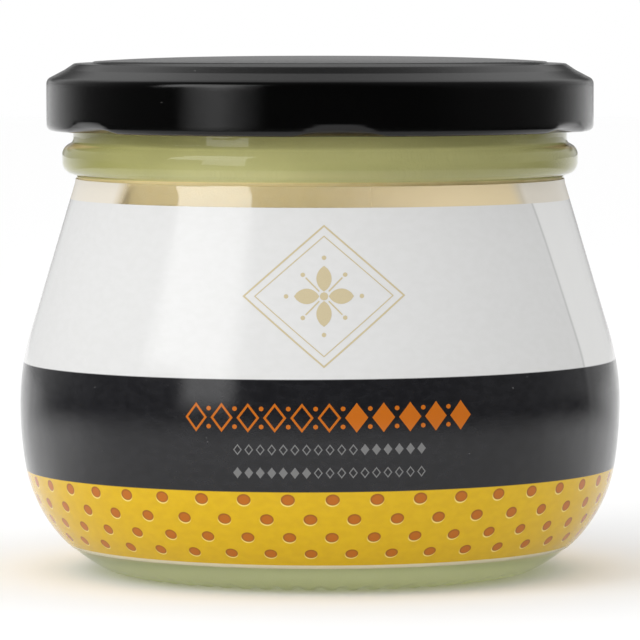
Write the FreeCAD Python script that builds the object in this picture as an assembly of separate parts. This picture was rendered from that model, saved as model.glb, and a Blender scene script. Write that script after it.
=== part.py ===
"""A squat, round-bellied mustard jar of pressed glass with a twist-off lid.

Four pieces share the axis +Z and the jar stands on z = 0: the glass, the mustard that fills it,
the sheet-metal lid and the printed film sleeve. The front is towards -Y, with +X on its right.
All lengths are in millimetres and all angles in degrees. A half section is a list of edges in the
XZ plane, x being the radius, and is turned round the axis.
"""
import FreeCAD
import Part
import math
import os

# --- glass: foot and belly ---
foot_radius = 31.8          # outer edge of the ring that the jar stands on
foot_width = 2.6            # width of that ring
foot_bevel_width = 2.1      # bevel from the ring to the start of the rounded heel
foot_bevel_height = 0.5
belly_radius = 47.1
belly_height = 26.5         # height of the widest line
lower_round = 60.0          # radius of the side below the widest line
lower_turn = 9.0            # angle that it covers before the tighter heel
upper_round = 39.5          # radius of the side above the widest line
body_height = 62.2          # groove under the transfer bead

# --- glass: neck, bead and rim ---
neck_radius = 38.9
neck_height = 12.05         # from the top of the bead to the sealing rim
neck_wall = 3.0
groove_depth = 0.8          # groove under the bead, measured from the neck
bead_width = 1.7            # how far the bead stands out from the neck
bead_height = 5.4           # from the groove to the top of the bead
bead_slope = 0.9            # how far each side of the bead leans in height
rim_outer_round = 0.7
rim_inner_round = 1.2

# --- glass: wall and base ---
wall = 2.5
floor_height = 4.6          # inside floor where it meets the heel
floor_rise = 1.1            # extra height of the floor at its middle
punt_slope_width = 3.7      # side of the hollow under the base
punt_edge_height = 1.8
punt_height = 2.6
shoulder_blend = 9.0        # rounding inside, where the flank meets the bore

# --- glass: bars moulded round the foot ---
bar_count = 60
bar_gap_radius = 0.95       # radius of the round-bottomed groove between two bars
bar_gap_depth = 0.4
bar_length = 4.2
bar_inset = 1.2             # how far the grooves reach in under the foot

# --- glass: interrupted thread ---
lug_count = 6
lug_phase = 4.0             # first lug, measured from the front towards +X
thread_sweep = 42.0
thread_radius = 1.1         # half the width of the round thread
thread_lead = 2.1           # slope of each thread
thread_clearance = 0.12     # between a lug and the thread over it

# --- contents ---
headspace = 7.2             # from the filling's surface up to the rim

# --- lid ---
sheet = 0.25
lid_depth = 10.5            # from the crest down to the lower edge
skirt_gap = 3.9             # between the neck and the skirt's inner face
crest_width = 2.5           # flat ring over the glass rim
crest_overlap = 0.2         # the crest ends this far inside the neck's outer face
panel_edge_width = 0.6      # the panel starts with a small step up from the crest
panel_edge_rise = 0.3
panel_flat_radius = 12.0
panel_rise = 0.74           # the panel's middle above its edge
step_width = 1.5            # outer side of the crest
step_drop = 1.0
shoulder_drop = 2.5         # crest down to where chamfer and skirt would meet
shoulder_round = 1.08
curl_size = 1.8             # height and width of the rolled lower edge
lug_gap = 0.75              # between the neck and a lug
lug_height = 1.4            # height over which the dent outside runs out
lug_form_radius = 30.0      # curve of the tool that presses it

# --- sleeve ---
film = 0.15
sleeve_bottom = 4.2
sleeve_top_gap = 0.8        # from the sleeve's top edge to the groove

# --- derived radii ---
foot_inner_radius = foot_radius - foot_width
heel_start_radius = foot_radius + foot_bevel_width
punt_radius = foot_inner_radius - punt_slope_width
bore_radius = neck_radius - neck_wall
groove_radius = neck_radius - groove_depth
bead_radius = neck_radius + bead_width
crest_outer_radius = neck_radius - crest_overlap
crest_inner_radius = crest_outer_radius - crest_width
panel_edge_radius = crest_inner_radius - panel_edge_width
step_radius = crest_outer_radius + step_width
skirt_radius = neck_radius + skirt_gap + sheet
curl_inner_radius = skirt_radius - curl_size
lug_depth = curl_inner_radius - neck_radius - lug_gap

# --- derived heights ---
bead_top = body_height + bead_height
rim_height = bead_top + neck_height
fill_height = rim_height - headspace
crest_height = rim_height + sheet
lid_bottom = crest_height - lid_depth
curl_top = lid_bottom + curl_size
sleeve_top = body_height - sleeve_top_gap

centre = FreeCAD.Vector(0, 0, 0)
up = FreeCAD.Vector(0, 0, 1)


# --- drawing helpers ---

def at(radius, height):
    return FreeCAD.Vector(radius, 0, height)


def slant(angle):
    """Unit vector in the section, at an angle above +X."""
    return at(math.cos(math.radians(angle)), math.sin(math.radians(angle)))


def line(start, end):
    return Part.LineSegment(start, end).toShape()


def arc(middle, radius, from_angle, to_angle):
    """Arc about a middle point, between two angles above +X."""
    points = [middle + slant(angle) * radius
              for angle in (from_angle, (from_angle + to_angle) / 2, to_angle)]
    return Part.Arc(*points).toShape()


def rounded(corners):
    """Edges along corners (radius, height, rounding). The two ends have no rounding."""
    edges = []
    last = at(*corners[0][:2])
    for before, corner, after in zip(corners, corners[1:], corners[2:]):
        tip = at(*corner[:2])
        back = (at(*before[:2]) - tip).normalize()
        ahead = (at(*after[:2]) - tip).normalize()
        half = math.acos(max(-1.0, min(1.0, back.dot(ahead)))) / 2
        reach = corner[2] / math.tan(half)
        bisector = (back + ahead).normalize()
        middle = tip + bisector * (corner[2] / math.sin(half))
        start = tip + back * reach
        end = tip + ahead * reach
        edges.append(line(last, start))
        edges.append(Part.Arc(start, middle - bisector * corner[2], end).toShape())
        last = end
    edges.append(line(last, at(*corners[-1][:2])))
    return edges


def inset(corners, distance):
    """Corners of the line that runs at a distance to the right of the given one."""
    points = [at(*corner[:2]) for corner in corners]
    sides = []
    for start, end in zip(points, points[1:]):
        run = (end - start).normalize()
        normal = at(run.z, -run.x)
        sides.append((start + normal * distance, run))
    moved = [(sides[0][0].x, sides[0][0].z, 0)]
    for (base, run), (other, turn), corner in zip(sides, sides[1:], corners[1:]):
        cross = run.x * turn.z - run.z * turn.x
        gap = other - base
        reach = (gap.x * turn.z - gap.z * turn.x) / cross
        meet = base + run * reach
        rounding = corner[2] - distance if cross < 0 else corner[2] + distance
        moved.append((meet.x, meet.z, max(rounding, 0.05)))
    end = points[-1] + at(sides[-1][1].z, -sides[-1][1].x) * distance
    moved.append((end.x, end.z, 0))
    return moved


def turned(edges):
    """Solid swept by a closed half section round the axis."""
    section = Part.Face(Part.Wire(Part.__sortEdges__(edges)))
    return section.revolve(centre, up, 360)


def around(shape, angle):
    """Copy of a shape turned round the axis, from +X to an angle measured from the front."""
    copy = shape.copy()
    copy.rotate(centre, up, angle - 90)
    return copy


# --- the side of the body: two arcs below the widest line, one arc and a straight flank above ---

class Side:
    """The jar's side moved outward by an offset, which is negative for the inside."""

    def __init__(self, offset):
        lower_middle = at(belly_radius - lower_round, belly_height)
        lower_end = lower_middle + slant(-lower_turn) * lower_round
        foot = at(heel_start_radius, foot_bevel_height)
        span = lower_end - foot
        self.heel_round = span.dot(span) / (2 * span.dot(slant(-lower_turn)))
        self.heel_middle = lower_end - slant(-lower_turn) * self.heel_round
        self.foot_angle = math.degrees(math.atan2(foot.z - self.heel_middle.z,
                                                  foot.x - self.heel_middle.x))
        self.lower_middle = lower_middle
        self.upper_middle = at(belly_radius - upper_round, belly_height)
        to_groove = at(groove_radius, body_height) - self.upper_middle
        self.flank_angle = (math.degrees(math.atan2(to_groove.z, to_groove.x))
                            - math.degrees(math.acos(upper_round / to_groove.Length)))
        self.offset = offset

    def heel_point(self, height):
        radius = self.heel_round + self.offset
        rise = height - self.heel_middle.z
        return at(self.heel_middle.x + math.sqrt(radius ** 2 - rise ** 2), height)

    def heel_angle(self, point):
        return math.degrees(math.atan2(point.z - self.heel_middle.z, point.x - self.heel_middle.x))

    def heel(self, from_angle):
        return arc(self.heel_middle, self.heel_round + self.offset, from_angle, -lower_turn)

    def belly(self):
        lower = arc(self.lower_middle, lower_round + self.offset, -lower_turn, 0)
        upper = arc(self.upper_middle, upper_round + self.offset, 0, self.flank_angle)
        return [lower, upper]

    def flank_start(self):
        return self.upper_middle + slant(self.flank_angle) * (upper_round + self.offset)

    def flank_point(self, height):
        """Point at a height on the flank or on its straight continuation."""
        start = self.flank_start()
        run = slant(self.flank_angle + 90)
        return start + run * ((height - start.z) / run.z)

    def flank_meets(self, radius):
        start = self.flank_start()
        run = slant(self.flank_angle + 90)
        return start + run * ((radius - start.x) / run.x)


# --- sections that two pieces share ---

def inside_wall(top_height):
    """The glass's inner face, from the middle of the floor up the bore to a height."""
    side = Side(-wall)
    lower_end = side.lower_middle + slant(-lower_turn) * (lower_round - wall)
    corner_round = (lower_end.z - floor_height) / (1 - math.sin(math.radians(lower_turn)))
    corner_middle = lower_end - slant(-lower_turn) * corner_round
    floor_edge = at(corner_middle.x, floor_height)
    floor_middle = at(0, floor_height + floor_rise)
    dome_radius = (floor_edge.x ** 2 + floor_rise ** 2) / (2 * floor_rise)
    dome_angle = math.degrees(math.asin(floor_edge.x / dome_radius))
    floor = arc(floor_middle - up * dome_radius, dome_radius, 90, 90 - dome_angle)
    corner = arc(corner_middle, corner_round, -90, -lower_turn)
    start = side.flank_start()
    meet = side.flank_meets(bore_radius)
    upper = rounded([(start.x, start.z, 0), (meet.x, meet.z, shoulder_blend), (bore_radius, top_height, 0)])
    return [floor, corner] + side.belly() + upper


def outside_wall():
    """The glass's outer face, from the middle of the hollow base to the rim's inner edge."""
    side = Side(0)
    punt_rise = punt_height - punt_edge_height
    dome_radius = (punt_radius ** 2 + punt_rise ** 2) / (2 * punt_rise)
    dome_angle = math.degrees(math.asin(punt_radius / dome_radius))
    punt = arc(at(0, punt_height - dome_radius), dome_radius, 90, 90 - dome_angle)
    foot = rounded([(punt_radius, punt_edge_height, 0),
                    (foot_inner_radius, 0, 0.8),
                    (foot_radius, 0, 1.5),
                    (heel_start_radius, foot_bevel_height, 0)])
    start = side.flank_start()
    neck = rounded([(start.x, start.z, 0),
                    (groove_radius, body_height, 0.7),
                    (bead_radius, body_height + bead_slope, 1.9),
                    (bead_radius, bead_top - bead_slope, 1.9),
                    (neck_radius, bead_top, 0.6),
                    (neck_radius, rim_height, rim_outer_round),
                    (bore_radius, rim_height, rim_inner_round),
                    (bore_radius, fill_height, 0)])
    return [punt] + foot + [side.heel(side.foot_angle)] + side.belly() + neck


# --- glass ---

def thread(angle):
    """One round thread that climbs a little across a lug."""
    height = curl_top + thread_clearance + thread_radius
    circle = Part.Circle(at(neck_radius, height), FreeCAD.Vector(0, 1, 0), thread_radius)
    piece = Part.Face(Part.Wire(circle.toShape())).revolve(centre, up, thread_sweep)
    piece.rotate(centre, up, -thread_sweep / 2)
    piece.rotate(at(0, height), FreeCAD.Vector(1, 0, 0), thread_lead)
    return around(piece, angle)


def bar_gap(angle):
    """Round-bottomed groove across the foot's outer edge, which leaves a bar on each side."""
    slope = math.atan2(foot_bevel_height, heel_start_radius - foot_radius)
    run = FreeCAD.Vector(math.cos(slope), 0, math.sin(slope))
    across = FreeCAD.Vector(math.sin(slope), 0, -math.cos(slope))
    start = at(foot_radius, 0) + across * (bar_gap_radius - bar_gap_depth)
    start = start - run * bar_inset
    groove = Part.makeCylinder(bar_gap_radius, bar_length, start, run)
    return around(groove, angle)


def make_glass():
    axis_line = line(at(0, floor_height + floor_rise), at(0, punt_height))
    glass = turned(inside_wall(fill_height) + outside_wall() + [axis_line])
    threads = [thread(lug_phase + index * 360 / lug_count) for index in range(lug_count)]
    glass = glass.fuse(threads)
    grooves = [bar_gap(index * 360 / bar_count) for index in range(bar_count)]
    return glass.cut(Part.makeCompound(grooves))


# --- mustard ---

def make_mustard():
    surface = line(at(bore_radius, fill_height), at(0, fill_height))
    axis_line = line(at(0, fill_height), at(0, floor_height + floor_rise))
    return turned(inside_wall(fill_height) + [surface, axis_line])


# --- lid ---

def lid_block(distance, bottom_height):
    """Solid of the lid's outline, moved inward by a distance and closed at a height."""
    corners = [(panel_edge_radius, crest_height + panel_edge_rise, 0),
               (crest_inner_radius, crest_height, 0.3),
               (crest_outer_radius, crest_height, 0.4),
               (step_radius, crest_height - step_drop, 0.6),
               (skirt_radius, crest_height - shoulder_drop, shoulder_round),
               (skirt_radius, bottom_height, 0)]
    corners = inset(corners, distance) if distance else corners
    start = at(*corners[0][:2])
    end = at(*corners[-1][:2])
    top = start.z + panel_rise
    panel_run = start.x - panel_flat_radius
    panel_radius = (panel_run ** 2 + panel_rise ** 2) / (2 * panel_rise)
    panel_angle = math.degrees(math.asin(panel_run / panel_radius))
    panel = [line(at(0, top), at(panel_flat_radius, top)),
             arc(at(panel_flat_radius, top - panel_radius), panel_radius, 90, 90 - panel_angle)]
    closing = [line(end, at(0, end.z)), line(at(0, end.z), at(0, top))]
    return turned(panel + rounded(corners) + closing)


def lug_dent(angle):
    """Tapered tool that presses a lug in from outside and runs out above the lower edge."""
    reach = skirt_radius - lug_depth + lug_form_radius
    slope = lug_depth / lug_height
    dent = Part.makeCone(lug_form_radius + slope * curl_size, lug_form_radius - lug_depth,
                         curl_size + lug_height, at(reach, lid_bottom - curl_size), up)
    return around(dent, angle)


def lug_back(angle):
    """The metal that the press moves inward, upright on its inner side."""
    reach = skirt_radius - lug_depth + lug_form_radius
    back = Part.makeCylinder(lug_form_radius + curl_size, 2 * curl_size,
                             at(reach, lid_bottom - curl_size), up)
    return around(back, angle)


def make_lid():
    angles = [lug_phase + index * 360 / lug_count for index in range(lug_count)]
    outside = lid_block(0, lid_bottom).cut([lug_dent(angle) for angle in angles])
    space = lid_block(sheet, curl_top)
    opening = Part.makeCylinder(curl_inner_radius, 2 * curl_size,
                                at(0, lid_bottom - curl_size), up)
    opening = opening.cut([lug_back(angle) for angle in angles])
    return outside.cut(space).cut(opening)


# --- sleeve ---

def make_sleeve():
    """Film that hugs the glass from just above the foot to just under the groove."""
    glass_side = Side(0)
    film_side = Side(film)
    low = glass_side.heel_point(sleeve_bottom)
    low_angle = glass_side.heel_angle(low)
    high = glass_side.flank_point(sleeve_top)
    film_low = low + slant(low_angle) * film
    film_high = high + slant(film_side.flank_angle) * film
    inner = [glass_side.heel(low_angle)] + glass_side.belly() + [line(glass_side.flank_start(), high)]
    outer = [film_side.heel(low_angle)] + film_side.belly() + [line(film_side.flank_start(), film_high)]
    return turned(inner + outer + [line(low, film_low), line(high, film_high)])


pieces = {
    "jar_glass": make_glass,
    "mustard": make_mustard,
    "lid": make_lid,
    "label_sleeve": make_sleeve,
}

os.makedirs("parts", exist_ok=True)
for name, make in pieces.items():
    shape = make()
    solid = shape.removeSplitter().Solids[0]
    solid.exportStep("parts/" + name + ".step")
    print(name, "solids", len(shape.Solids), "valid", solid.isValid(), "cm3", round(solid.Volume / 1000, 2))
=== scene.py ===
import math

import bmesh
import bpy
import numpy as np
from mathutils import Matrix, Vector, noise


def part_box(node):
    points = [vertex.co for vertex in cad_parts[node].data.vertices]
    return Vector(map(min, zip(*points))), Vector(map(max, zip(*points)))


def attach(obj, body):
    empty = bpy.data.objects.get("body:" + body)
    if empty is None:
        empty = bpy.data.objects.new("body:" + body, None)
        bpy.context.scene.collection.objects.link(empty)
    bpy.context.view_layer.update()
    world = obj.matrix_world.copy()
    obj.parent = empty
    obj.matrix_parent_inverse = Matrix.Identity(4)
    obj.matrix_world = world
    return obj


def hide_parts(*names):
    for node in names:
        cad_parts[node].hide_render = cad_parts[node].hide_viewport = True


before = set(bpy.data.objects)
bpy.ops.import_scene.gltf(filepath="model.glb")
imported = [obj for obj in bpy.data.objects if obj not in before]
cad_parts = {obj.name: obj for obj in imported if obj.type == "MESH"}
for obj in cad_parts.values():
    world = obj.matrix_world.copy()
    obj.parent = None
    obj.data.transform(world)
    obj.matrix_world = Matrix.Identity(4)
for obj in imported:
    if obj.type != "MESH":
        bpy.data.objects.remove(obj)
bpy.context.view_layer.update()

# A squat mustard jar: pressed glass, mustard, black twist-off lid and a printed film sleeve.
# Lengths in the shape sections are millimetres and MM turns them into metres. Angles are degrees.
# The front faces -Y. A bearing is an angle round the jar from the front, positive towards +X.

MM = 0.001

# ---------------------------------------------------------------- sizes that follow the frame

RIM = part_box("jar_glass")[1].z / MM
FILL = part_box("mustard")[1].z / MM
LID_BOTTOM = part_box("lid")[0].z / MM
LID_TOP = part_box("lid")[1].z / MM
SKIRT_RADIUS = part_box("lid")[1].x / MM
SLEEVE_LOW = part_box("label_sleeve")[0].z / MM
SLEEVE_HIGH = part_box("label_sleeve")[1].z / MM

FOOT_RADIUS = 31.8
FOOT_WIDTH = 2.6
BEVEL_WIDTH = 2.1
BEVEL_HEIGHT = 0.5
BELLY_RADIUS = 47.1
BELLY_HEIGHT = 26.5
LOWER_ROUND = 60.0
LOWER_TURN = 9.0
UPPER_ROUND = 39.5
GROOVE_HEIGHT = 62.2
NECK_RADIUS = 38.9
NECK_WALL = 3.0
GROOVE_DEPTH = 0.8
BEAD_WIDTH = 1.7
BEAD_HEIGHT = 5.4
BEAD_SLOPE = 0.9
WALL = 2.5
FLOOR_HEIGHT = 4.6
FLOOR_RISE = 1.1
PUNT_RADIUS = 25.5
PUNT_EDGE = 1.8
PUNT_HEIGHT = 2.6
SHOULDER_BLEND = 9.0
BAR_COUNT = 60
BAR_DEPTH = 0.4
BAR_SHARE = 0.62       # of half a pitch
BAR_SLOPE = 20.0
BAR_INWARD = 1.2       # reach of the bars from FOOT_RADIUS
BAR_OUTWARD = 3.0
BAR_TOP = 1.6
BAR_FADE = 0.8
FILM = 0.15
SHEET = 0.25
CURL = 1.8
LUG_COUNT = 6
LUG_PHASE = 4.0
LUG_DEPTH = 1.6
LUG_HEIGHT = 1.4
LUG_FORM = 30.0
THREAD_RADIUS = 1.1
THREAD_SWEEP = 42.0
THREAD_LEAD = 2.1

BORE_RADIUS = NECK_RADIUS - NECK_WALL
GROOVE_RADIUS = NECK_RADIUS - GROOVE_DEPTH
BEAD_RADIUS = NECK_RADIUS + BEAD_WIDTH
BEAD_TOP = GROOVE_HEIGHT + BEAD_HEIGHT
CREST = RIM + SHEET
THREAD_HEIGHT = LID_BOTTOM + CURL + 0.12 + THREAD_RADIUS

# print on the sleeve: heights on the jar, the dots, and the creases' bearings
PRINT_LOW = 4.8
YELLOW_TOP = 16.35
BLACK_TOP = 33.3
WHITE_TOP = 58.7
DOT_ROWS = 4
DOTS_ROUND = 43
DOT_RADIUS = 1.06
DOT_SQUASH = 1.2
DOT_ROW_DROP = 1.2     # first row below the black band, along the film
DOT_ROW_PITCH = 3.2
DOT_START = 0.717      # cells from the back to the first column
DOT_RING_RADIUS = 45.6
PRINT_ROLL = 0.30      # the sleeve sits a little crooked
PRINT_EDGE_BLUR = 0.10
CREASE_RIGHT = 54.0
CREASE_LEFT = 53.6
CREASE_DRIFT = 6.5     # degrees that the right crease gains down to BLACK_TOP
CREASE_POWER = 0.6

# mesh density round the jar
GLASS_COLUMNS = 420
MUSTARD_COLUMNS = 256
FINE_COLUMNS = 540

# surroundings, in metres
FLOOR_HALF = 3.0
SOFTBOX_DISTANCE = 0.60
CAMERA_PLACE = (0.0, -0.863, 0.092)
CAMERA_AIM = (0.0, 0.0, 0.0394)
CAMERA_LENS = 308.0    # millimetres, on a 36 mm sensor


# ---------------------------------------------------------------- outlines in the half section

def arc(middle, radius, start, end, count):
    turns = [math.radians(start + (end - start) * i / count) for i in range(count + 1)]
    return [(middle[0] + radius * math.cos(a), middle[1] + radius * math.sin(a)) for a in turns]


def straight(start, end, count):
    return [(start[0] + (end[0] - start[0]) * i / count, start[1] + (end[1] - start[1]) * i / count)
            for i in range(count + 1)]


def rounded(corners, per_round=6, spacing=1.0):
    """Points along corners (radius, height, rounding), dense in the rounds."""
    points = []
    last = Vector(corners[0][:2])
    for before, corner, after in zip(corners, corners[1:], corners[2:]):
        tip = Vector(corner[:2])
        back = (Vector(before[:2]) - tip).normalized()
        ahead = (Vector(after[:2]) - tip).normalized()
        half = back.angle(ahead) / 2
        reach = corner[2] / math.tan(half)
        middle = tip + (back + ahead).normalized() * (corner[2] / math.sin(half))
        first = tip + back * reach
        second = tip + ahead * reach
        points += straight(last, first, max(1, round((first - last).length / spacing)))
        from_middle = first - middle
        swing = from_middle.angle_signed(second - middle)
        for i in range(1, per_round):
            turn = -swing * i / per_round
            turned = Vector((from_middle.x * math.cos(turn) - from_middle.y * math.sin(turn),
                             from_middle.x * math.sin(turn) + from_middle.y * math.cos(turn)))
            points.append(tuple(middle + turned))
        last = second
    end = Vector(corners[-1][:2])
    return points + straight(last, end, max(1, round((end - last).length / spacing)))


def joined(*paths):
    """Paths end to end, with doubled points left out."""
    points = []
    for path in paths:
        for point in path:
            if not points or math.dist(points[-1], point) > 1e-4:
                points.append(tuple(point))
    return points


class Side:
    """The body's side, moved outward by an offset."""

    def __init__(self, offset):
        self.offset = offset
        self.lower = (BELLY_RADIUS - LOWER_ROUND, BELLY_HEIGHT)
        self.upper = (BELLY_RADIUS - UPPER_ROUND, BELLY_HEIGHT)
        normal = Vector((math.cos(math.radians(LOWER_TURN)), -math.sin(math.radians(LOWER_TURN))))
        self.lower_end = Vector(self.lower) + normal * LOWER_ROUND
        span = self.lower_end - Vector((FOOT_RADIUS + BEVEL_WIDTH, BEVEL_HEIGHT))
        self.heel_round = span.dot(span) / (2 * span.dot(normal))
        self.heel = self.lower_end - normal * self.heel_round
        self.normal = normal
        to_groove = Vector((GROOVE_RADIUS, GROOVE_HEIGHT)) - Vector(self.upper)
        self.flank_angle = (math.degrees(math.atan2(to_groove.y, to_groove.x))
                            - math.degrees(math.acos(UPPER_ROUND / to_groove.length)))

    def heel_angle(self, height):
        """Angle on the glass's heel arc at a height."""
        return math.degrees(math.asin((height - self.heel.y) / self.heel_round))

    def heel_arc(self, start, count=24):
        return arc(self.heel, self.heel_round + self.offset, start, -LOWER_TURN, count)

    def belly(self, count=14):
        lower = arc(self.lower, LOWER_ROUND + self.offset, -LOWER_TURN, 0, count // 2)
        upper = arc(self.upper, UPPER_ROUND + self.offset, 0, self.flank_angle, count)
        return joined(lower, upper)

    def flank_start(self):
        angle = math.radians(self.flank_angle)
        radius = UPPER_ROUND + self.offset
        return (self.upper[0] + radius * math.cos(angle), self.upper[1] + radius * math.sin(angle))

    def flank_at(self, height):
        start = self.flank_start()
        lean = math.tan(math.radians(self.flank_angle))
        return (start[0] - (height - start[1]) * lean, height)

    def flank_meets(self, radius):
        start = self.flank_start()
        lean = math.tan(math.radians(self.flank_angle))
        return (radius, start[1] + (start[0] - radius) / lean)


def inside_wall(top, grow=0.0):
    """The glass's inner face from the middle of the floor up the bore, moved outward by grow."""
    side = Side(grow - WALL)
    lower_end = Vector(side.lower) + side.normal * (LOWER_ROUND - WALL)
    corner_round = (lower_end.y - FLOOR_HEIGHT) / (1 - math.sin(math.radians(LOWER_TURN)))
    corner = lower_end - side.normal * corner_round
    dome = (corner.x ** 2 + FLOOR_RISE ** 2) / (2 * FLOOR_RISE)
    swing = math.degrees(math.asin(corner.x / dome))
    floor = arc((0, FLOOR_HEIGHT + FLOOR_RISE - grow - dome), dome, 90, 90 - swing, 10)
    heel = arc(corner, corner_round + grow, -90, -LOWER_TURN, 16)
    radius = BORE_RADIUS + grow
    start = side.flank_start()
    meet = side.flank_meets(radius)
    bore = rounded([(*start, 0), (*meet, SHOULDER_BLEND), (radius, top, 0)], 8, 3.0)
    return joined(floor, heel, side.belly(), bore)


def glass_outline():
    side = Side(0)
    rise = PUNT_HEIGHT - PUNT_EDGE
    dome = (PUNT_RADIUS ** 2 + rise ** 2) / (2 * rise)
    swing = math.degrees(math.asin(PUNT_RADIUS / dome))
    punt = arc((0, PUNT_HEIGHT - dome), dome, 90, 90 - swing, 8)
    bevel_end = (FOOT_RADIUS + BEVEL_WIDTH, BEVEL_HEIGHT)
    foot = rounded([(PUNT_RADIUS, PUNT_EDGE, 0), (FOOT_RADIUS - FOOT_WIDTH, 0, 0.8),
                    (FOOT_RADIUS, 0, 1.5), (*bevel_end, 0)], 4, 0.5)
    heel = side.heel_arc(side.heel_angle(BEVEL_HEIGHT), 20)
    neck = rounded([(*side.flank_start(), 0),
                    (GROOVE_RADIUS, GROOVE_HEIGHT, 0.7),
                    (BEAD_RADIUS, GROOVE_HEIGHT + BEAD_SLOPE, 1.9),
                    (BEAD_RADIUS, BEAD_TOP - BEAD_SLOPE, 1.9),
                    (NECK_RADIUS, BEAD_TOP, 0.6),
                    (NECK_RADIUS, RIM, 0.7),
                    (BORE_RADIUS, RIM, 1.2),
                    (BORE_RADIUS, FILL, 0)], 6, 0.9)
    return joined(punt, foot, heel, side.belly(), neck, reversed(inside_wall(FILL)))


# ---------------------------------------------------------------- turned meshes

def lathe(name, outline, count, shape=None, closed=False, sharp=40):
    """Mesh turned from an outline. shape(bearings, radius, height) returns the changed pair.
    The map OFBake holds the bearing as a share of the turn and the distance along the outline as a
    share of its length."""
    bearings = np.linspace(-math.pi, math.pi, count, endpoint=False)
    points, rings = [], []
    for radius, height in outline:
        if radius < 1e-6:
            rings.append([len(points)])
            points.append((0.0, 0.0, height))
            continue
        r = np.full(count, radius)
        z = np.full(count, height)
        if shape:
            r, z = shape(bearings, r, z)
        rings.append(range(len(points), len(points) + count))
        points += zip(r * np.sin(bearings), -r * np.cos(bearings), z)
    along = [0.0]
    for a, b in zip(outline, outline[1:]):
        along.append(along[-1] + math.dist(a, b))
    if closed:
        along.append(along[-1] + math.dist(outline[-1], outline[0]))
    along = [distance / along[-1] for distance in along]
    pairs = list(zip(range(len(rings)), range(1, len(rings))))
    if closed:
        pairs.append((len(rings) - 1, 0))
    faces, uvs = [], []
    for step, (low, high) in enumerate(pairs):
        below, above = rings[low], rings[high]
        for j in range(count):
            k = (j + 1) % count
            left, right = j / count, (j + 1) / count
            v0, v1 = along[step], along[step + 1]
            if len(below) == 1:
                faces.append((below[0], above[k], above[j]))
                uvs += [(left, v0), (right, v1), (left, v1)]
            elif len(above) == 1:
                faces.append((below[j], below[k], above[0]))
                uvs += [(left, v0), (right, v0), (left, v1)]
            else:
                faces.append((below[j], below[k], above[k], above[j]))
                uvs += [(left, v0), (right, v0), (right, v1), (left, v1)]
    mesh = bpy.data.meshes.new(name)
    mesh.from_pydata([(x * MM, y * MM, z * MM) for x, y, z in points], [], faces)
    mesh.uv_layers.new(name="OFBake").data.foreach_set("uv", np.array(uvs, np.float32).ravel())
    mesh.validate()
    mesh.shade_smooth()
    mesh.set_sharp_from_angle(angle=math.radians(sharp))
    piece = bpy.data.objects.new(name, mesh)
    bpy.context.scene.collection.objects.link(piece)
    return piece


def outward(piece):
    """Turns every face of a closed mesh outward."""
    work = bmesh.new()
    work.from_mesh(piece.data)
    bmesh.ops.recalc_face_normals(work, faces=work.faces)
    work.to_mesh(piece.data)
    work.free()
    return piece


def wrapped(angle, period):
    """Signed distance of an angle from the nearest multiple of a period."""
    return (angle + period / 2) % period - period / 2


# ---------------------------------------------------------------- node helpers

class Nodes:
    """Short names for the shader nodes that the materials use."""

    def __init__(self, tree):
        self.tree = tree

    def add(self, kind, **settings):
        node = self.tree.nodes.new(kind)
        for key, value in settings.items():
            setattr(node, key, value)
        return node

    def feed(self, socket, value):
        if isinstance(value, bpy.types.NodeSocket):
            self.tree.links.new(value, socket)
        elif isinstance(value, (tuple, list)) and len(value) == 3 and socket.type == "RGBA":
            socket.default_value = (*value, 1.0)
        else:
            socket.default_value = value

    def math(self, operation, *values):
        node = self.add("ShaderNodeMath", operation=operation)
        for socket, value in zip(node.inputs, values):
            self.feed(socket, value)
        return node.outputs[0]

    def step(self, value, low, high, to=(0.0, 1.0)):
        """to[0] at low, to[1] at high, smooth between and level beyond. Low may be above high."""
        node = self.add("ShaderNodeMapRange", interpolation_type="SMOOTHSTEP")
        below, above = to if low <= high else reversed(to)
        for socket, number in zip(node.inputs, (value, min(low, high), max(low, high), below, above)):
            self.feed(socket, number)
        return node.outputs[0]

    def mix(self, share, first, second):
        node = self.add("ShaderNodeMix", data_type="RGBA")
        self.feed(node.inputs["Factor"], share)
        self.feed(node.inputs[6], first)
        self.feed(node.inputs[7], second)
        return node.outputs[2]

    def noise(self, scale, detail=2.0, vector=None):
        node = self.add("ShaderNodeTexNoise")
        node.inputs["Scale"].default_value = scale
        node.inputs["Detail"].default_value = detail
        if vector is not None:
            self.feed(node.inputs["Vector"], vector)
        return node.outputs[0]

    def dust(self, scale, patches, low, high):
        """1 on small specks, which lie in patches, and 0 beside them."""
        cells = self.add("ShaderNodeTexVoronoi", feature="F1")
        cells.inputs["Scale"].default_value = scale
        self.feed(cells.inputs["Vector"], self.place())
        return self.math("MULTIPLY", self.step(cells.outputs["Distance"], 0.10, 0.05),
                         self.step(self.noise(patches, 2.0), low, high))

    def split(self, vector):
        node = self.add("ShaderNodeSeparateXYZ")
        self.feed(node.inputs[0], vector)
        return node.outputs

    def length(self, vector):
        node = self.add("ShaderNodeVectorMath", operation="LENGTH")
        self.feed(node.inputs[0], vector)
        return node.outputs["Value"]

    def place(self):
        return self.add("ShaderNodeTexCoord").outputs["Object"]

    def stretched(self, x, y, z):
        node = self.add("ShaderNodeMapping")
        self.feed(node.inputs["Vector"], self.place())
        node.inputs["Scale"].default_value = (x, y, z)
        return node.outputs[0]

    def bump(self, height, strength, distance):
        node = self.add("ShaderNodeBump")
        node.inputs["Strength"].default_value = strength
        node.inputs["Distance"].default_value = distance
        self.feed(node.inputs["Height"], height)
        return node.outputs[0]

    def blend(self, share, first, second):
        """The first shader at share 0, the second at 1."""
        node = self.add("ShaderNodeMixShader")
        self.feed(node.inputs[0], share)
        self.tree.links.new(first, node.inputs[1])
        self.tree.links.new(second, node.inputs[2])
        return node.outputs[0]

    def surface(self, shader):
        self.tree.links.new(shader, self.tree.nodes["Material Output"].inputs["Surface"])


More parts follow.
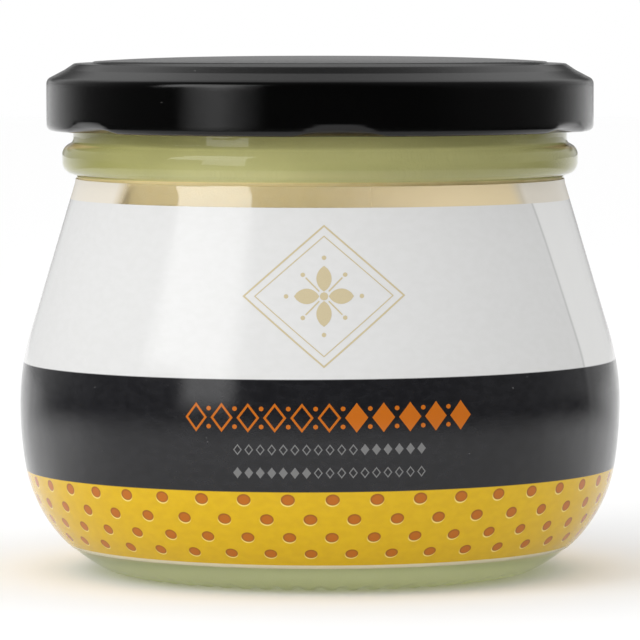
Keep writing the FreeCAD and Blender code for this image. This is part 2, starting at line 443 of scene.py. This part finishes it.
def material(name):
    made = bpy.data.materials.new(name)
    made.use_nodes = True
    nodes = Nodes(made.node_tree)
    shader = made.node_tree.nodes["Principled BSDF"]
    return made, nodes, shader


def dress(piece, made):
    piece.data.materials.clear()
    piece.data.materials.append(made)


# ---------------------------------------------------------------- glass

def shape_glass(bearings, radius, height):
    """Bars round the foot and the interrupted thread under the lid."""
    degrees = np.degrees(bearings)
    r, z = radius[0], height[0]
    from_inner, to_outer = r - FOOT_RADIUS + BAR_INWARD, FOOT_RADIUS + BAR_OUTWARD - r
    if from_inner > 0 and to_outer > 0 and z < BAR_TOP:
        pitch = 360 / BAR_COUNT
        off = np.abs(wrapped(degrees, pitch)) / (pitch / 2)
        dip = np.clip(1 - (off / BAR_SHARE) ** 2, 0, 1)
        fade = min(1.0, from_inner / BAR_FADE, to_outer / BAR_FADE)
        slope = math.radians(BAR_SLOPE)
        height = height + BAR_DEPTH * dip * fade * math.cos(slope)
        radius = radius - BAR_DEPTH * dip * fade * math.sin(slope)
    if r > NECK_RADIUS - 0.1 and BEAD_TOP + 1.5 < z < RIM - 0.9:
        off = wrapped(degrees - LUG_PHASE, 360 / LUG_COUNT)
        climb = np.radians(off) * NECK_RADIUS * math.tan(math.radians(THREAD_LEAD))
        across = z - (THREAD_HEIGHT + climb)
        bulge = np.sqrt(np.clip(THREAD_RADIUS ** 2 - across ** 2, 0, None))
        radius = radius + bulge * np.clip((THREAD_SWEEP / 2 - np.abs(off)) / 2.0, 0, 1)
    return radius, height


def glass_material():
    """Glass that lets shadow rays straight through, so that the light reaches the mustard."""
    made, nodes, shader = material("green_tinted_glass")
    shader.inputs["Base Color"].default_value = (0.965, 0.985, 0.950, 1)
    shader.inputs["Transmission Weight"].default_value = 1.0
    shader.inputs["IOR"].default_value = 1.5
    waves = nodes.noise(90.0, 2.0, nodes.stretched(1, 1, 2.2))
    nodes.feed(shader.inputs["Normal"], nodes.bump(waves, 0.25, 0.0004))
    nodes.feed(shader.inputs["Roughness"], nodes.step(nodes.noise(300.0), 0.4, 0.9, (0.0, 0.03)))
    shadow = nodes.add("ShaderNodeLightPath").outputs["Is Shadow Ray"]
    clear = nodes.add("ShaderNodeBsdfTransparent").outputs[0]
    nodes.surface(nodes.blend(shadow, shader.outputs[0], clear))
    return made


def build_glass():
    piece = lathe("pressed_glass", glass_outline(), GLASS_COLUMNS, shape_glass, sharp=60)
    outward(piece)
    dress(piece, glass_material())
    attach(piece, "root")
    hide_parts("jar_glass")


# ---------------------------------------------------------------- mustard

def mustard_material():
    """Cream. The olive in the neck and the green at the foot are painted tint and shade of the thick green
    glass in front, and the pale middle of the underside is painted light that comes up through the punt.
    """
    made, nodes, shader = material("cream_mustard")
    z = nodes.split(nodes.place())["Z"]
    cream = nodes.mix(nodes.step(nodes.noise(60.0, 4.0), 0.35, 0.7), (0.96, 0.775, 0.37), (0.93, 0.73, 0.32))
    specks = nodes.step(nodes.noise(900.0, 1.0), 0.72, 0.78)
    cream = nodes.mix(specks, cream, (0.70, 0.48, 0.17))
    # Painted tint and shade: olive in the neck stands in for the thick neck glass darkening and greening the
    # cream.
    painted_glass_tint = nodes.mix(nodes.step(nodes.noise(40.0, 3.0, nodes.stretched(0.4, 0.4, 3.0)), 0.35, 0.65),
                      (0.65, 0.62, 0.25), (0.47, 0.45, 0.155))
    neck = nodes.step(z, (GROOVE_HEIGHT + 1.2) * MM, (GROOVE_HEIGHT + 2.2) * MM)
    color = nodes.mix(neck, cream, painted_glass_tint)
    # Painted tint and shade: green at the foot stands in for the thick glass of the heel.
    foot = nodes.step(z, (FLOOR_HEIGHT + 2.4) * MM, (FLOOR_HEIGHT + 0.8) * MM)
    color = nodes.mix(foot, color, (0.50, 0.53, 0.22))
    # Painted light: the underside turns pale in the middle, where light comes up through the punt.
    under = nodes.step(z, (FLOOR_HEIGHT + 1.0) * MM, (FLOOR_HEIGHT + 0.3) * MM)
    middle = nodes.step(nodes.length(nodes.stretched(1, 1, 0)), 27 * MM, 21 * MM)
    pale = nodes.mix(middle, (0.60, 0.62, 0.28), (0.93, 0.96, 0.80))
    nodes.feed(shader.inputs["Base Color"], nodes.mix(under, color, pale))
    shader.inputs["Roughness"].default_value = 0.45
    lumps = nodes.noise(220.0, 3.0)
    nodes.feed(shader.inputs["Normal"], nodes.bump(lumps, 0.2, 0.0004))
    return made


def build_mustard():
    outline = joined(inside_wall(FILL, 0.12), [(30.0, FILL), (18.0, FILL), (7.0, FILL), (0.0, FILL)])

    def settle(bearings, radius, height):
        if height[0] > FILL - 0.01 and radius[0] < BORE_RADIUS - 1:
            height = height - 0.25 + 0.25 * np.sin(3 * bearings + radius[0] * 0.2)
        return radius, height

    piece = lathe("mustard_filling", outline, MUSTARD_COLUMNS, settle)
    outward(piece)
    dress(piece, mustard_material())
    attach(piece, "root")
    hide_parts("mustard")


# ---------------------------------------------------------------- lid

def lid_outline():
    """Outer face from the middle to the rolled edge, then back up the inner face."""
    top = LID_TOP
    edge_radius = NECK_RADIUS - 3.3
    crest_inner = NECK_RADIUS - 2.7
    crest_outer = NECK_RADIUS - 0.2
    step = (crest_outer + 1.5, CREST - 1.0)
    shoulder = CREST - 2.5
    edge = CREST + 0.3
    dome = [(edge_radius * t, edge + (top - edge) * (1 - t ** 3.3)) for t in np.linspace(0, 1, 14)]
    outer = rounded([(edge_radius - 0.05, edge, 0),
                     (crest_inner, CREST, 0.3),
                     (crest_outer, CREST, 0.4),
                     (*step, 0.6),
                     (SKIRT_RADIUS, shoulder, 1.08),
                     (SKIRT_RADIUS, LID_BOTTOM + CURL / 2, 0)], 6, 0.6)
    roll = arc((SKIRT_RADIUS - CURL / 2, LID_BOTTOM + CURL / 2), CURL / 2, 0, -250, 20)
    inner_radius = SKIRT_RADIUS - SHEET
    inner = rounded([(inner_radius, LID_BOTTOM + CURL + 0.2, 0),
                     (inner_radius, shoulder - 0.1, 0.85),
                     (crest_outer + 1.4, CREST - 1.25, 0.85),
                     (crest_outer - 0.1, CREST - SHEET, 0.15),
                     (crest_inner - 0.05, CREST - SHEET, 0.5),
                     (edge_radius - 0.1, edge - SHEET, 0)], 4, 1.2)
    under = [(r, z - SHEET) for r, z in reversed(dome[:-1])]
    return joined(dome, outer[1:], roll, inner, under)


def shape_lid(bearings, radius, height):
    """Six lugs pressed into the rolled edge from outside."""
    z = height[0]
    above = z - LID_BOTTOM
    if above > CURL + 0.3:
        return radius, height
    if radius[0] < SKIRT_RADIUS - CURL / 2:
        above = min(above, 0.35)
    reach = SKIRT_RADIUS - LUG_DEPTH + LUG_FORM
    form = LUG_FORM - LUG_DEPTH / LUG_HEIGHT * above
    off = np.radians(wrapped(np.degrees(bearings) - LUG_PHASE, 360 / LUG_COUNT))
    inside = np.clip(form ** 2 - (reach * np.sin(off)) ** 2, 0, None)
    tool = np.where(inside > 0, reach * np.cos(off) - np.sqrt(inside), 1e3)
    soft = 0.25
    gap = np.clip((tool - SKIRT_RADIUS) / soft, -20, 20)
    moved = -soft * np.log1p(np.exp(-gap)) + soft * math.log(2) * np.exp(-np.abs(gap))
    return radius + np.minimum(moved, 0), height


def lid_material():
    made, nodes, shader = material("black_gloss_lacquer")
    specks = nodes.dust(260.0, 70.0, 0.62, 0.70)
    color = nodes.mix(specks, (0.0015, 0.0015, 0.0015), (0.07, 0.07, 0.066))
    nodes.feed(shader.inputs["Base Color"], color)
    shader.inputs["IOR"].default_value = 1.5
    smear = nodes.noise(35.0, 3.0, nodes.stretched(1, 1, 0.35))
    nodes.feed(shader.inputs["Roughness"], nodes.step(smear, 0.3, 0.8, (0.06, 0.09)))
    nodes.feed(shader.inputs["Normal"], nodes.bump(nodes.noise(420.0, 2.0), 0.12, 0.0001))
    return made


def build_lid():
    piece = lathe("twist_off_lid", lid_outline(), FINE_COLUMNS, shape_lid, sharp=50)
    outward(piece)
    dress(piece, lid_material())
    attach(piece, "root")
    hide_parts("lid")


# ---------------------------------------------------------------- printed sleeve

def film_path(offset, low, high):
    """The film's section between two heights on the glass, and its length along the film."""
    side = Side(offset)
    return joined(side.heel_arc(side.heel_angle(low), 20), side.belly(16),
                  straight(side.flank_start(), side.flank_at(high), 18))


def film_distance(height):
    """Distance along the film from the printed part's lower edge up to a height."""
    path = film_path(FILM, PRINT_LOW, WHITE_TOP)
    total = 0.0
    for a, b in zip(path, path[1:]):
        if b[1] >= height:
            return total + math.dist(a, b) * (height - a[1]) / (b[1] - a[1])
        total += math.dist(a, b)
    return total


def stand_off(bearing, height):
    """How far the shrunk film stands off at a place, in millimetres: soft ripples and two creases."""
    x, y = math.sin(bearing) * 9.0, math.cos(bearing) * 9.0
    wave = noise.noise(Vector((x, y, height * 0.10))) * 0.030
    fine = noise.noise(Vector((x * 2.6, y * 2.6, height * 0.28 + 9.0))) * 0.010
    fade = min(1.0, max(0.0, (height - SLEEVE_LOW) / 4.0), max(0.0, (SLEEVE_HIGH + 1.5 - height) / 4.0))
    share = max(0.0, (SLEEVE_HIGH - height) / (SLEEVE_HIGH - BLACK_TOP))
    right = math.degrees(bearing) - CREASE_RIGHT - CREASE_DRIFT * share ** CREASE_POWER
    left = math.degrees(bearing) + CREASE_LEFT
    ridge = 0.14 * math.exp(-(right / 1.0) ** 2) * min(1.0, max(0.0, 1.3 - share))
    ridge += 0.05 * math.exp(-(left / 0.8) ** 2) * min(1.0, max(0.0, 0.35 - share) * 4)
    return max(0.0, (wave + fine) * fade + 0.02) + ridge


def shape_film(bearings, radius, height):
    push = np.array([stand_off(b, height[0]) for b in bearings])
    return radius + push, height


def slab(name, grids, low, high):
    """Thin closed bodies that follow the film. A grid holds rows of (bearing, height), and low and
    high are the distances of the two faces from the glass."""
    path = film_path(0, SLEEVE_LOW, SLEEVE_HIGH)
    heights, radii = [z for _, z in path], [r for r, _ in path]
    points, faces = [], []
    for grid in grids:
        n, m = len(grid), len(grid[0])
        start = len(points)
        for off in (high, low):
            for row in grid:
                for bearing, z in row:
                    r = float(np.interp(z, heights, radii)) + off + stand_off(bearing, z)
                    points.append((r * math.sin(bearing) * MM, -r * math.cos(bearing) * MM, z * MM))

        def top(i, j):
            return start + i * m + j

        def base(i, j):
            return start + (n + i) * m + j

        for i in range(n - 1):
            for j in range(m - 1):
                faces.append((top(i, j), top(i, j + 1), top(i + 1, j + 1), top(i + 1, j)))
                faces.append((base(i, j), base(i + 1, j), base(i + 1, j + 1), base(i, j + 1)))
            faces.append((top(i, 0), top(i + 1, 0), base(i + 1, 0), base(i, 0)))
            faces.append((top(i + 1, m - 1), top(i, m - 1), base(i, m - 1), base(i + 1, m - 1)))
        for j in range(m - 1):
            faces.append((top(0, j + 1), top(0, j), base(0, j), base(0, j + 1)))
            faces.append((top(n - 1, j), top(n - 1, j + 1), base(n - 1, j + 1), base(n - 1, j)))
    mesh = bpy.data.meshes.new(name)
    mesh.from_pydata(points, [], faces)
    mesh.validate()
    mesh.shade_smooth()
    mesh.set_sharp_from_angle(angle=math.radians(50))
    piece = bpy.data.objects.new(name, mesh)
    bpy.context.scene.collection.objects.link(piece)
    outward(piece)
    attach(piece, "root")
    return piece


def dot_shares(nodes, u, s, yellow_edge):
    """Shares of each dot's pale offset edge, its ink and its core. The dots lie in cells round the
    jar and in rows down the film, every other row moved by half a cell."""
    first_row = yellow_edge - DOT_ROW_DROP
    depth = nodes.math("DIVIDE", nodes.math("SUBTRACT", first_row + DOT_ROW_PITCH / 2, s), DOT_ROW_PITCH)
    stagger = nodes.math("MULTIPLY", nodes.math("MODULO", nodes.math("FLOOR", depth), 2.0), 0.5)
    cells = nodes.math("ADD", nodes.math("MULTIPLY", u, float(DOTS_ROUND)), stagger)
    cells = nodes.math("ADD", cells, DOT_START)
    dx = nodes.math("SUBTRACT", nodes.math("FRACT", cells), 0.5)
    dx = nodes.math("MULTIPLY", dx, 2 * math.pi * DOT_RING_RADIUS / DOTS_ROUND)
    dy = nodes.math("MULTIPLY", nodes.math("SUBTRACT", 0.5, nodes.math("FRACT", depth)), DOT_ROW_PITCH)
    rows = nodes.math("MULTIPLY", nodes.step(depth, -0.01, 0.0),
                      nodes.step(depth, DOT_ROWS + 0.01, float(DOT_ROWS)))

    def disc(shift_x, shift_y, radius, soft):
        a = nodes.math("SUBTRACT", dx, shift_x)
        b = nodes.math("MULTIPLY", nodes.math("SUBTRACT", dy, shift_y), DOT_SQUASH)
        square = nodes.math("ADD", nodes.math("MULTIPLY", a, a), nodes.math("MULTIPLY", b, b))
        inside = nodes.step(nodes.math("SQRT", square), radius + soft, radius - soft)
        return nodes.math("MULTIPLY", inside, rows)

    return (disc(-0.05, -0.20, DOT_RADIUS, 0.10), disc(0.0, 0.0, DOT_RADIUS, 0.08),
            disc(0.02, -0.04, DOT_RADIUS - 0.22, 0.14))


def crease_light_shares(nodes, u, z):
    """Shares of the painted sheen on the strip beyond the right crease and of the painted shade along the
    crease's own line.
    """
    drop = nodes.math("DIVIDE", nodes.math("SUBTRACT", SLEEVE_HIGH * MM, z),
                      (SLEEVE_HIGH - BLACK_TOP) * MM)
    drop = nodes.math("POWER", nodes.math("MAXIMUM", drop, 0.0), CREASE_POWER)
    bearing = nodes.math("MULTIPLY", nodes.math("SUBTRACT", u, 0.5), 360.0)
    turn = nodes.math("SUBTRACT", bearing, CREASE_RIGHT)
    turn = nodes.math("SUBTRACT", turn, nodes.math("MULTIPLY", drop, CREASE_DRIFT))
    beyond = nodes.math("MULTIPLY", nodes.step(turn, 0.1, 1.0), nodes.step(turn, 24.0, 12.0))
    return beyond, nodes.step(nodes.math("ABSOLUTE", turn), 0.55, 0.15)


def print_material(length):
    """White over charcoal over dotted yellow. Length is the whole section's, both faces."""
    made, nodes, shader = material("printed_film")
    u, v, _ = nodes.split(nodes.add("ShaderNodeUVMap", uv_map="OFBake").outputs[0])
    x, _, z = nodes.split(nodes.place())
    roll = nodes.math("MULTIPLY", x, math.tan(math.radians(PRINT_ROLL)) / MM)
    s = nodes.math("SUBTRACT", nodes.math("MULTIPLY", v, length), roll)
    yellow_edge = film_distance(YELLOW_TOP)
    black_edge = film_distance(BLACK_TOP)
    hole, ring, core = dot_shares(nodes, u, s, yellow_edge)
    beyond, line = crease_light_shares(nodes, u, z)

    tone = nodes.step(nodes.noise(55.0, 3.0), 0.3, 0.7)
    white = nodes.mix(tone, (0.64, 0.64, 0.635), (0.625, 0.625, 0.618))
    # Painted sheen on the white beyond the right crease, then painted shade along the crease.
    white = nodes.mix(beyond, white, (0.73, 0.73, 0.72))
    white = nodes.mix(nodes.math("MULTIPLY", line, 0.55), white, (0.44, 0.44, 0.43))
    charcoal = nodes.mix(tone, (0.0100, 0.0100, 0.0115), (0.0145, 0.0145, 0.0165))
    charcoal = nodes.mix(nodes.dust(330.0, 110.0, 0.60, 0.68), charcoal, (0.09, 0.09, 0.09))
    # Painted sheen on the charcoal beyond the right crease.
    charcoal = nodes.mix(nodes.math("MULTIPLY", beyond, 0.4), charcoal, (0.035, 0.035, 0.036))
    yellow = nodes.mix(tone, (0.645, 0.408, 0.0), (0.605, 0.378, 0.0))
    yellow = nodes.mix(nodes.math("MULTIPLY", hole, 0.85), yellow, (0.86, 0.70, 0.22))
    yellow = nodes.mix(ring, yellow, (0.29, 0.090, 0.002))
    yellow = nodes.mix(core, yellow, (0.44, 0.122, 0.002))

    def above(edge):
        return nodes.step(s, edge - PRINT_EDGE_BLUR, edge + PRINT_EDGE_BLUR)

    color = nodes.mix(above(yellow_edge), yellow, charcoal)
    nodes.feed(shader.inputs["Base Color"], nodes.mix(above(black_edge), color, white))
    shader.inputs["IOR"].default_value = 1.5
    rough = nodes.step(nodes.noise(45.0, 3.0), 0.3, 0.75, (0.10, 0.16))
    nodes.feed(shader.inputs["Roughness"], rough)
    nodes.feed(shader.inputs["Normal"], nodes.bump(nodes.noise(500.0, 2.0), 0.10, 0.0001))
    return made


def build_sleeve():
    outer = film_path(FILM, PRINT_LOW, WHITE_TOP)
    inner = list(reversed(film_path(0.03, PRINT_LOW, WHITE_TOP)))
    outline = outer + inner
    length = sum(math.dist(a, b) for a, b in zip(outline, outline[1:] + outline[:1]))
    piece = lathe("printed_sleeve", outline, FINE_COLUMNS, shape_film, closed=True, sharp=60)
    outward(piece)
    dress(piece, print_material(length))
    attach(piece, "root")
    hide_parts("label_sleeve")


def ink(name, color, roughness):
    """Printed colour, a little uneven."""
    made, nodes, shader = material(name)
    tone = nodes.step(nodes.noise(700.0, 2.0), 0.35, 0.7)
    worn = tuple(channel * 0.88 for channel in color)
    nodes.feed(shader.inputs["Base Color"], nodes.mix(tone, color, worn))
    nodes.feed(shader.inputs["Roughness"], nodes.math("MULTIPLY_ADD", tone, 0.05, roughness))
    shader.inputs["IOR"].default_value = 1.45
    return made


def clear_film_material():
    """Film that adds its reflections in front. Over them lies a diffuse layer of painted light: cream in
    front, thin at the left and strong at the right, for the lit mustard seen through the shoulder, and a
    painted grey-beige sheen round the sides and the back.
    """
    made, nodes, shader = material("clear_film")
    shader.inputs["Roughness"].default_value = 0.25
    gloss = nodes.add("ShaderNodeBsdfGlossy")
    gloss.inputs["Roughness"].default_value = 0.06
    fresnel = nodes.add("ShaderNodeFresnel")
    fresnel.inputs["IOR"].default_value = 1.5
    outer_face = nodes.math("SUBTRACT", 1.0, nodes.add("ShaderNodeNewGeometry").outputs["Backfacing"])
    share = nodes.math("MULTIPLY", nodes.math("MULTIPLY", fresnel.outputs[0], 3.2), outer_face)
    clear = nodes.add("ShaderNodeBsdfTransparent").outputs[0]
    film = nodes.blend(nodes.math("MINIMUM", share, 1.0), clear, gloss.outputs[0])
    x, y, _ = nodes.split(nodes.place())
    # Painted light: a cream layer in front, thin at the left and strong at the right, for the lit mustard
    # behind the shoulder.
    painted_light = nodes.math("ADD", nodes.math("MULTIPLY", nodes.step(x, -4 * MM, 24 * MM), 0.60), 0.10)
    # Painted sheen: a pale grey-beige layer round the sides and the back.
    behind = nodes.step(y, -26 * MM, -22.6 * MM)
    nodes.feed(shader.inputs["Base Color"], nodes.mix(behind, (0.90, 0.75, 0.47), (0.70, 0.65, 0.56)))
    painted_light = nodes.math("MAXIMUM", painted_light, nodes.math("MULTIPLY", behind, 0.95))
    nodes.surface(nodes.blend(painted_light, film, shader.outputs[0]))
    return made


def band(heights):
    """Grid all the way round at a list of heights."""
    turns = [math.radians(b) for b in np.linspace(-180, 180, FINE_COLUMNS + 1)]
    return [[(turn, z) for turn in turns] for z in heights]


def build_clear_film():
    """The film's unprinted margins, the upper one 0.4 mm higher than the CAD's sleeve."""
    upper = np.linspace(WHITE_TOP, SLEEVE_HIGH + 0.4, 5)
    lower = np.linspace(SLEEVE_LOW, PRINT_LOW, 3)
    clear = slab("clear_film", [band(upper)], 0.03, FILM)
    dress(clear, clear_film_material())
    edge = slab("film_edge", [band(lower)], 0.03, FILM)
    dress(edge, ink("film_edge", (0.72, 0.66, 0.47), 0.25))


class Ink:
    """Flat shapes on the print. Places are (millimetres across the front, height)."""

    def __init__(self):
        path = film_path(FILM, SLEEVE_LOW, SLEEVE_HIGH)
        self.heights, self.radii = [z for _, z in path], [r for r, _ in path]
        self.grids = []

    def place(self, a, z):
        z += (a - 1.0) * math.tan(math.radians(PRINT_ROLL))
        return (a / float(np.interp(z, self.heights, self.radii)), z)

    def filled(self, a, z, half_width, half_height, bulge=1.0, turn=0.0, rows=10, columns=4):
        """A lozenge at bulge 1, rounder towards bulge 0.5 (an ellipse)."""
        grid = []
        for i in range(rows + 1):
            t = -1 + 2 * i / rows
            wide = max(1 - abs(t), 0.0) if bulge == 1.0 else max(1 - t * t, 0.0) ** bulge
            wide = half_width * max(wide, 0.02)
            row = []
            for j in range(columns + 1):
                x, y = wide * (-1 + 2 * j / columns), half_height * t
                row.append(self.place(a + x * math.cos(turn) - y * math.sin(turn),
                                      z + x * math.sin(turn) + y * math.cos(turn)))
            grid.append(row)
        self.grids.append(grid)

    def dot(self, a, z, radius):
        self.filled(a, z, radius, radius, 0.5, 0.0, 8, 4)

    def lozenge_line(self, a, z, half_width, half_height, line):
        corners = [(1, 0), (0, 1), (-1, 0), (0, -1), (1, 0)]
        slim = line / math.sin(math.atan2(half_height, half_width))
        pairs = ((half_width, half_height), (half_width - slim, half_height * (1 - slim / half_width)))
        steps = max(2, round(max(half_width, half_height)))
        rows = [[], []]
        for first, second in zip(corners, corners[1:]):
            for i in range(steps):
                t = i / steps
                for row, (w, h) in zip(rows, pairs):
                    row.append(self.place(a + w * (first[0] * (1 - t) + second[0] * t),
                                          z + h * (first[1] * (1 - t) + second[1] * t)))
        for row in rows:
            row.append(row[0])
        self.grids.append(rows)

    def stroke(self, start, end, line):
        steps = max(1, round(math.dist(start, end)))
        ahead = Vector((end[0] - start[0], end[1] - start[1])).normalized() * line / 2
        rows = []
        for side in (-1, 1):
            rows.append([self.place(start[0] + (end[0] - start[0]) * i / steps - side * ahead.y,
                                    start[1] + (end[1] - start[1]) * i / steps + side * ahead.x)
                         for i in range(steps + 1)])
        self.grids.append(rows)

    def build(self, name, color):
        piece = slab(name, self.grids, FILM - 0.03, FILM + 0.03)
        dress(piece, ink(name, color, 0.14))


def build_ornaments():
    gold = Ink()
    a, z = 0.6, 45.6
    gold.lozenge_line(a, z, 12.4, 10.6, 0.26)
    gold.lozenge_line(a, z, 10.6, 9.0, 0.16)
    for turn in range(4):
        angle = math.radians(90 * turn)
        out = (-math.sin(angle), math.cos(angle))
        gold.filled(a + out[0] * 2.6, z + out[1] * 2.6, 1.15, 1.9, 0.8, angle, 10, 4)
        gold.dot(a + out[0] * 5.7, z + out[1] * 5.7, 0.34)
        angle += math.radians(45)
        out = (-math.sin(angle), math.cos(angle))
        gold.stroke((a + out[0] * 1.0, z + out[1] * 1.0), (a + out[0] * 3.9, z + out[1] * 3.9), 0.22)
        gold.dot(a + out[0] * 4.5, z + out[1] * 4.5, 0.34)
    gold.dot(a, z, 0.62)
    gold.build("gold_ink", (0.55, 0.47, 0.30))

    orange = Ink()
    a, z, pitch = 1.4, 27.6, 4.1
    for i in range(-5, 6):
        if i < 1:
            orange.lozenge_line(a + i * pitch, z, 1.75, 2.2, 0.34)
        else:
            orange.filled(a + i * pitch, z, 1.75, 2.2)
        if i < 5:
            orange.dot(a + (i + 0.5) * pitch, z + 1.35, 0.36)
            orange.dot(a + (i + 0.5) * pitch, z - 1.35, 0.36)
    orange.build("orange_ink", (0.50, 0.130, 0.008))

    grey = Ink()
    for height, bold in ((22.8, range(3, 9)), (19.3, range(-8, -1))):
        for i in range(-8, 9):
            if i in bold:
                grey.filled(a + 0.1 + i * 1.75, height, 0.68, 0.85, 1.0, 0.0, 6, 2)
            else:
                grey.lozenge_line(a + 0.1 + i * 1.75, height, 0.68, 0.85, 0.17)
    grey.build("grey_ink", (0.17, 0.17, 0.17))


# ---------------------------------------------------------------- surroundings

def build_floor():
    """A pale table. Reflections see it darker in front and far off, and rays that come through
    the glass see it glow."""
    mesh = bpy.data.meshes.new("floor")
    corners = [(x * FLOOR_HALF, y * FLOOR_HALF, 0) for x, y in ((-1, -1), (1, -1), (1, 1), (-1, 1))]
    mesh.from_pydata(corners, [], [(0, 1, 2, 3)])
    floor = bpy.data.objects.new("floor", mesh)
    bpy.context.scene.collection.objects.link(floor)
    made, nodes, shader = material("pale_floor")
    path = nodes.add("ShaderNodeLightPath")
    y = nodes.split(nodes.place())["Y"]
    distance = nodes.length(nodes.place())
    behind = nodes.math("DIVIDE", y, nodes.math("MAXIMUM", distance, 0.01))
    near = nodes.math("MAXIMUM", nodes.step(behind, 0.35, 0.90), nodes.step(distance, 0.42, 0.22))
    table = nodes.mix(nodes.step(y, -0.06, 0.04), (0.64, 0.64, 0.64), (0.97, 0.97, 0.97))
    table = nodes.mix(near, (0.0, 0.0, 0.0), table)
    color = nodes.mix(path.outputs["Is Glossy Ray"], (0.95, 0.95, 0.95), table)
    nodes.feed(shader.inputs["Base Color"], color)
    glow = nodes.add("ShaderNodeEmission").outputs[0]
    nodes.surface(nodes.blend(path.outputs["Is Transmission Ray"], shader.outputs[0], glow))
    shader.inputs["Roughness"].default_value = 0.9
    shader.inputs["Specular IOR Level"].default_value = 0.0
    dress(floor, made)


def build_world():
    """A pale studio: white behind for the camera, darker towards the camera in reflections."""
    world = bpy.data.worlds.new("studio")
    bpy.context.scene.world = world
    world.use_nodes = True
    nodes = Nodes(world.node_tree)
    background = world.node_tree.nodes["Background"]
    x, y, z = nodes.split(nodes.add("ShaderNodeTexCoord").outputs["Generated"])
    back = nodes.math("MAXIMUM", nodes.math("DIVIDE", nodes.math("ADD", y, 0.35), 1.35), 0.0)
    back = nodes.math("MULTIPLY", nodes.math("POWER", back, 2.3), 0.70)
    right = nodes.math("MULTIPLY_ADD", nodes.step(x, 0.0, 0.5), 0.06, 0.04)
    sides = nodes.math("MULTIPLY", nodes.step(y, -0.80, -0.30), right)
    studio = nodes.math("ADD", back, sides)
    upper = nodes.math("MULTIPLY", nodes.step(y, 0.42, 0.54), nodes.step(z, 0.48, 0.66))
    dim = nodes.math("MULTIPLY", nodes.step(y, 0.94, 0.985), nodes.step(z, 0.14, 0.10))
    gap = nodes.math("MULTIPLY", nodes.step(y, 0.84, 0.96), nodes.step(z, 0.10, 0.16))
    gap = nodes.math("MULTIPLY", gap, nodes.step(z, 0.54, 0.42))
    shade = nodes.math("ADD", nodes.math("MULTIPLY", gap, 0.85), nodes.math("MULTIPLY", dim, 0.60))
    studio = nodes.math("MULTIPLY", studio, nodes.math("SUBTRACT", 1.0, nodes.math("MINIMUM", shade, 0.9)))
    studio = nodes.math("ADD", studio, nodes.math("MULTIPLY", upper, 0.28))
    soft = nodes.math("SUBTRACT", 1.04, nodes.math("MULTIPLY", x, 0.08))
    path = nodes.add("ShaderNodeLightPath")
    level = nodes.mix(path.outputs["Is Glossy Ray"], soft, studio)
    seen = nodes.math("MAXIMUM", path.outputs["Is Camera Ray"], path.outputs["Is Transmission Ray"])
    nodes.feed(background.inputs["Color"], nodes.mix(seen, level, (1.0, 1.0, 1.0)))


def panel(name, bearings, heights, radiance):
    """Upright soft panel between two bearings and two heights in metres, facing the jar."""
    distance = SOFTBOX_DISTANCE
    middle = math.radians(sum(bearings) / 2)
    lamp = bpy.data.lights.new(name, "AREA")
    lamp.shape = "RECTANGLE"
    lamp.size = 2 * distance * math.tan(math.radians(abs(bearings[1] - bearings[0]) / 2))
    lamp.size_y = heights[1] - heights[0]
    lamp.energy = radiance * math.pi * lamp.size * lamp.size_y
    made = bpy.data.objects.new(name, lamp)
    made.location = (math.sin(middle) * distance, -math.cos(middle) * distance, sum(heights) / 2)
    ahead = Vector((-made.location.x, -made.location.y, 0))
    made.rotation_euler = ahead.to_track_quat("-Z", "Y").to_euler()
    bpy.context.scene.collection.objects.link(made)


def build_softbox():
    """Tall soft light at the left of the camera, seen as a stripe in the lacquer and the film."""
    panel("softbox_low", (-52, -32), (0.050, 0.20), 1.9)
    panel("softbox_high", (-70, -33), (0.20, 0.70), 2.45)


def build_camera():
    data = bpy.data.cameras.new("camera")
    data.lens = CAMERA_LENS
    data.sensor_width = 36.0
    data.clip_end = 20.0
    camera = bpy.data.objects.new("camera", data)
    camera.location = CAMERA_PLACE
    aim = Vector(CAMERA_AIM) - camera.location
    camera.rotation_euler = aim.to_track_quat("-Z", "Y").to_euler()
    bpy.context.scene.collection.objects.link(camera)
    bpy.context.scene.camera = camera


bpy.context.scene.view_settings.view_transform = "Standard"
build_glass()
build_mustard()
build_lid()
build_sleeve()
build_clear_film()
build_ornaments()
build_floor()
build_world()
build_softbox()
build_camera()
